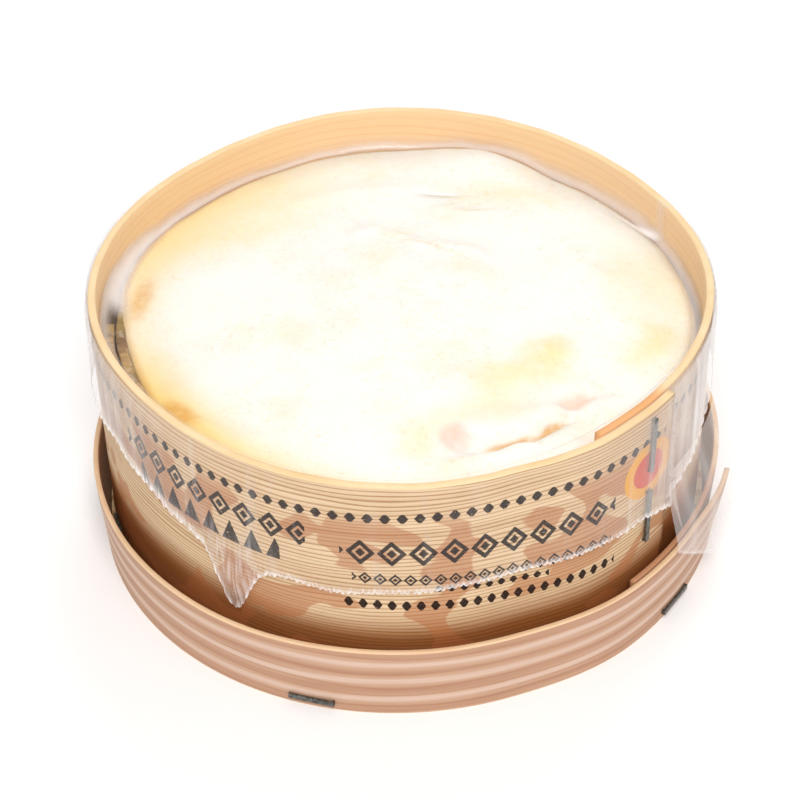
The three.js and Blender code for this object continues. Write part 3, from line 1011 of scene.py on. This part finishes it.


# Painted highlights: narrow white streaks in the film over the rind, where its creases catch the light:
# place, reach across, reach along, turn and strength.
FILM_HIGHLIGHTS = [((8.3, 42.9), 6.0, 0.75, -8, 1.0), ((52.5, 31), 9.0, 0.7, -48, 0.6)]


def film_material():
    """Clear film: a faint grey-pink haze that thickens in folds, with painted white highlight streaks,
    under bright gloss.
    """
    n = Nodes("clear_film")
    haze = n.node("ShaderNodeAttribute", attribute_name="haze").outputs["Fac"]
    edge = n.node("ShaderNodeLayerWeight", {"Blend": 0.3}).outputs["Facing"]
    place = n.place()
    ripple = n.noise(place, 0.35, 3.0, 0.6, 0.4)
    share = n.add(haze, n.times(n.times(edge, edge), 0.16))
    # Painted highlights: white streaks where the film over the rind catches the light.
    share = n.add(share, area_share(n, place, FILM_HIGHLIGHTS))
    return n.finish(
        Base_Color=n.mix(ripple, colour(248, 236, 232), colour(254, 250, 247)),
        Roughness=0.14,
        IOR=1.5,
        Alpha=n.math("MINIMUM", share, 0.95),
        Normal=n.bump(ripple, 0.3, 0.0005),
    )


def make_film():
    rings, ring_haze = film_rings()
    rows, columns = rings.shape[:2]
    flap, flap_haze = flap_grid()
    middle = polar(0.0, 0.0, float(rings[0, :, 2].mean()))
    points = np.concatenate([rings.reshape(-1, 3), middle[None], flap.reshape(-1, 3)])
    haze = np.concatenate([ring_haze.ravel(), [CLEAR], flap_haze.ravel()])
    faces = list(grid_faces(rows, columns, close_columns=True))
    faces += [[rows * columns, i, (i + 1) % columns] for i in range(columns)]
    faces += list(grid_faces(*flap.shape[:2]) + rows * columns + 1)
    piece = mesh_piece("clear_film_sheet", points, faces, points[:, :2], [film_material()])
    attribute = piece.data.attributes.new("haze", "FLOAT", "POINT")
    attribute.data.foreach_set("value", haze)
    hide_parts("film")


# ---- Staples and discs keep their design meshes ----


def steel():
    n = Nodes("staple_wire")
    place = n.place()
    wear = n.noise(place, 1.4, 4.0)
    tint = n.mix(n.ramp(wear, 0.35, 0.7), colour(118, 119, 116), colour(70, 70, 64))
    return n.finish(
        Base_Color=tint,
        Metallic=0.85,
        Roughness=n.math("MULTIPLY_ADD", wear, 0.3, 0.25),
        Normal=n.bump(n.noise(place, 6.0, 2.0), 0.2, 0.0001),
    )


def disc_wood():
    """Flat-sawn spruce: grain runs straight across the disc."""
    n = Nodes("spruce_board")
    place = n.place()
    split = n.node("ShaderNodeSeparateXYZ", {0: place})
    x, y, z = split.outputs
    wander = n.noise(n.joined(n.times(x, 0.02), n.times(y, 0.05), n.times(z, 0.1)), 1.0, 3.0)
    rings = n.math("SINE", n.add(n.times(y, 1.1), n.times(wander, 9.0)))
    fibre = n.noise(n.joined(n.times(x, 0.05), n.times(y, 2.0), n.times(z, 1.5)), 1.0, 4.0, 0.7)
    share = n.add(n.times(n.ramp(rings, -0.2, 1.0), 0.5), n.times(fibre, 0.6))
    tint = n.mix(n.ramp(share, 0.25, 0.9), colour(236, 204, 158), colour(198, 148, 98))
    return n.finish(Base_Color=tint, Roughness=0.68, Normal=n.bump(fibre, 0.5, 0.0002))


def dress_nodes():
    wire, board = steel(), disc_wood()
    for name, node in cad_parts.items():
        if "staple" in name:
            node.data.materials[0] = wire
        elif name in ("lid_disc", "box_bottom"):
            node.data.materials[0] = board


# ---- Camera, floor and light ----

# The camera turns about the lid's middle on the table: distance, height angle, then small turns.
CAMERA_DISTANCE = 509.8
CAMERA_ELEVATION = 42.548
CAMERA_YAW = -0.163
CAMERA_PITCH = 2.268
CAMERA_ROLL = -0.936
CAMERA_LENS = 98.04


def make_camera():
    place = CAMERA_DISTANCE * Vector((0, -cosd(CAMERA_ELEVATION), sind(CAMERA_ELEVATION)))
    forward = -place.normalized()
    right = Vector((1, 0, 0))
    up = right.cross(forward)
    yaw, pitch, roll = (math.radians(a) for a in (CAMERA_YAW, CAMERA_PITCH, CAMERA_ROLL))
    level = math.cos(yaw) * forward + math.sin(yaw) * right
    forward = math.cos(pitch) * level + math.sin(pitch) * up
    right = forward.cross(up).normalized()
    up = right.cross(forward)
    across = math.cos(roll) * right + math.sin(roll) * up
    above = math.cos(roll) * up - math.sin(roll) * right
    data = bpy.data.cameras.new("camera")
    data.lens = CAMERA_LENS
    data.sensor_width = 36
    data.clip_start = 0.01
    camera = bpy.data.objects.new("camera", data)
    turn = Matrix((across, above, -forward)).transposed().to_4x4()
    camera.matrix_world = Matrix.Translation(place * MM) @ turn
    bpy.context.scene.collection.objects.link(camera)
    bpy.context.scene.camera = camera


# The floor's side in millimetres, the sky's strength, and in metres the lamps' size and what they face.
FLOOR_SIDE = 8000.0
SKY_STRENGTH = 0.55
LAMP_SIZE = 0.5
LAMP_TARGET = (0, 0, 0.04)


def area_light(name, place, power):
    """A round soft lamp at a place in metres, facing the object."""
    data = bpy.data.lights.new(name, "AREA")
    data.shape = "DISK"
    data.size = LAMP_SIZE
    data.energy = power
    light = bpy.data.objects.new(name, data)
    direction = Vector(LAMP_TARGET) - Vector(place)
    turn = direction.to_track_quat("-Z", "Y").to_matrix().to_4x4()
    light.matrix_world = Matrix.Translation(place) @ turn
    bpy.context.scene.collection.objects.link(light)


def make_studio():
    n = Nodes("white_sweep")
    mottle = n.noise(n.place(), 0.004, 2.0)
    tint = n.mix(mottle, colour(250, 250, 250), colour(253, 253, 253))
    material = n.finish(Base_Color=tint, Roughness=0.9)
    half = FLOOR_SIDE / 2
    corners = [(-half, -half, 0), (half, -half, 0), (half, half, 0), (-half, half, 0)]
    mesh = bpy.data.meshes.new("floor")
    mesh.from_pydata([Vector(c) * MM for c in corners], [], [(0, 1, 2, 3)])
    mesh.materials.append(material)
    floor = bpy.data.objects.new("floor", mesh)
    bpy.context.scene.collection.objects.link(floor)
    world = bpy.data.worlds.new("studio")
    world.use_nodes = True
    background = world.node_tree.nodes["Background"]
    background.inputs["Color"].default_value = (1, 1, 1, 1)
    background.inputs["Strength"].default_value = SKY_STRENGTH
    bpy.context.scene.world = world
    area_light("key", place=(0.02, -0.62, 0.82), power=6.4)
    area_light("back", place=(0.15, 0.6, 0.85), power=2.6)
    bpy.context.scene.view_settings.view_transform = "Standard"
    bpy.context.scene.view_settings.exposure = 0.0


# ---- Put it together ----

make_camera()
make_studio()
dress_nodes()
make_lid_band()
make_box_band()
make_bark()
make_cheese()
make_film()
